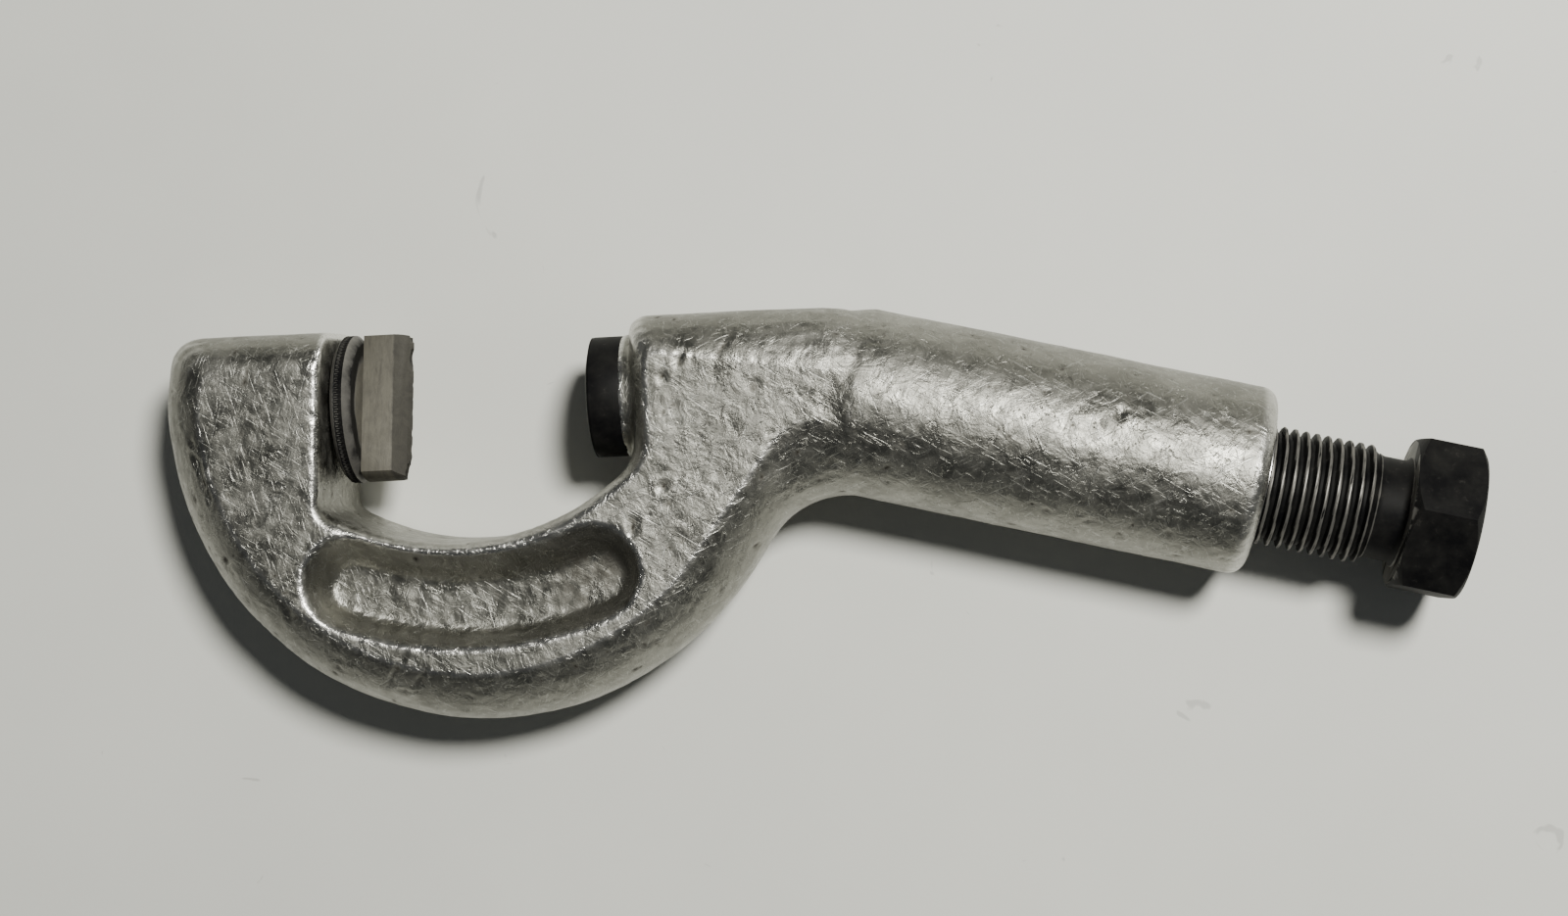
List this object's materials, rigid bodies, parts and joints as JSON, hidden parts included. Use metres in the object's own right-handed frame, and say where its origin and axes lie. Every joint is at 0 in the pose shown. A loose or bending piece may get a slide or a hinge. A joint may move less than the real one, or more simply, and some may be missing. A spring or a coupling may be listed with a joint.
{
  "type": "hydraulic nut splitter",
  "caption": "Hand-held nut splitter: a forged C-frame whose handle screw drives an oil-fed ram pad towards a turnable chisel.",
  "frame": {"origin": "centre of the ram pad's pressing face, on the jaw axis, with the ram drawn in", "axes": "+X along the jaw axis from the chisel towards the handle, +Y in the frame's plane away from the C's arm, +Z out of the frame's broad side"},
  "size_m": [0.2432, 0.0741, 0.035],
  "materials": {
    "forged_aluminium": "bare forged aluminium, dull and dinged, with bright worn edges",
    "black_steel": "black oxide steel, worn to grey on its edges",
    "chisel_steel": "tool steel with a ground, tan-grey tarnished blade",
    "ground_steel": "fine ground steel",
    "spring_steel": "oiled spring wire",
    "zinc_steel": "plated steel fastener",
    "seal_copper": "soft copper washer",
    "seal_rubber": "nitrile rubber",
    "backup_plastic": "white low-friction plastic"
  },
  "bodies": {
    "frame": {"frame_casting": "forged_aluminium", "gland_nut": "black_steel", "rod_wiper": "seal_rubber", "return_spring": "spring_steel", "thread_bush": "ground_steel", "bush_lock_screw": "black_steel", "filler_plug": "zinc_steel", "filler_seal": "seal_copper", "detent_ball": "ground_steel", "detent_spring": "spring_steel", "detent_plug": "black_steel"},
    "ram": {"ram_piston": "ground_steel", "ram_pad": "black_steel", "piston_cup_seal": "seal_rubber", "piston_backup_ring": "backup_plastic"},
    "plunger": {"pump_plunger": "ground_steel", "plunger_o_ring": "seal_rubber", "plunger_backup_ring": "backup_plastic", "thrust_ball": "ground_steel"},
    "screw": {"pressure_screw": "black_steel", "screw_stop_ring": "spring_steel"},
    "chisel": {"chisel": "chisel_steel", "chisel_collar": "black_steel", "shank_o_ring": "seal_rubber"}
  },
  "joints": [
    {"name": "ram_slide", "type": "slide", "parent": "frame", "child": "ram", "axis": [-1, 0, 0], "range_m": [0, 0.01177], "deforming": ["return_spring"]},
    {"name": "plunger_feed", "type": "slide", "parent": "frame", "child": "plunger", "axis": [-0.9686, 0.2487, 0], "range_m": [0, 0.02401]},
    {"name": "screw_turn", "type": "hinge", "parent": "plunger", "child": "screw", "pos_m": [0.13426, -0.02487, 0], "axis": [-0.9686, 0.2487, 0], "range_deg": [0, 4320]},
    {"name": "chisel_turn", "type": "hinge", "parent": "frame", "child": "chisel", "pos_m": [-0.06, 0, 0], "axis": [1, 0, 0], "continuous": true}
  ],
  "couplings": [
    {"joint": "plunger_feed", "follows": "screw_turn", "m_per_rad": 0.00031831},
    {"joint": "ram_slide", "follows": "screw_turn", "m_per_rad": 0.00015597}
  ]
}
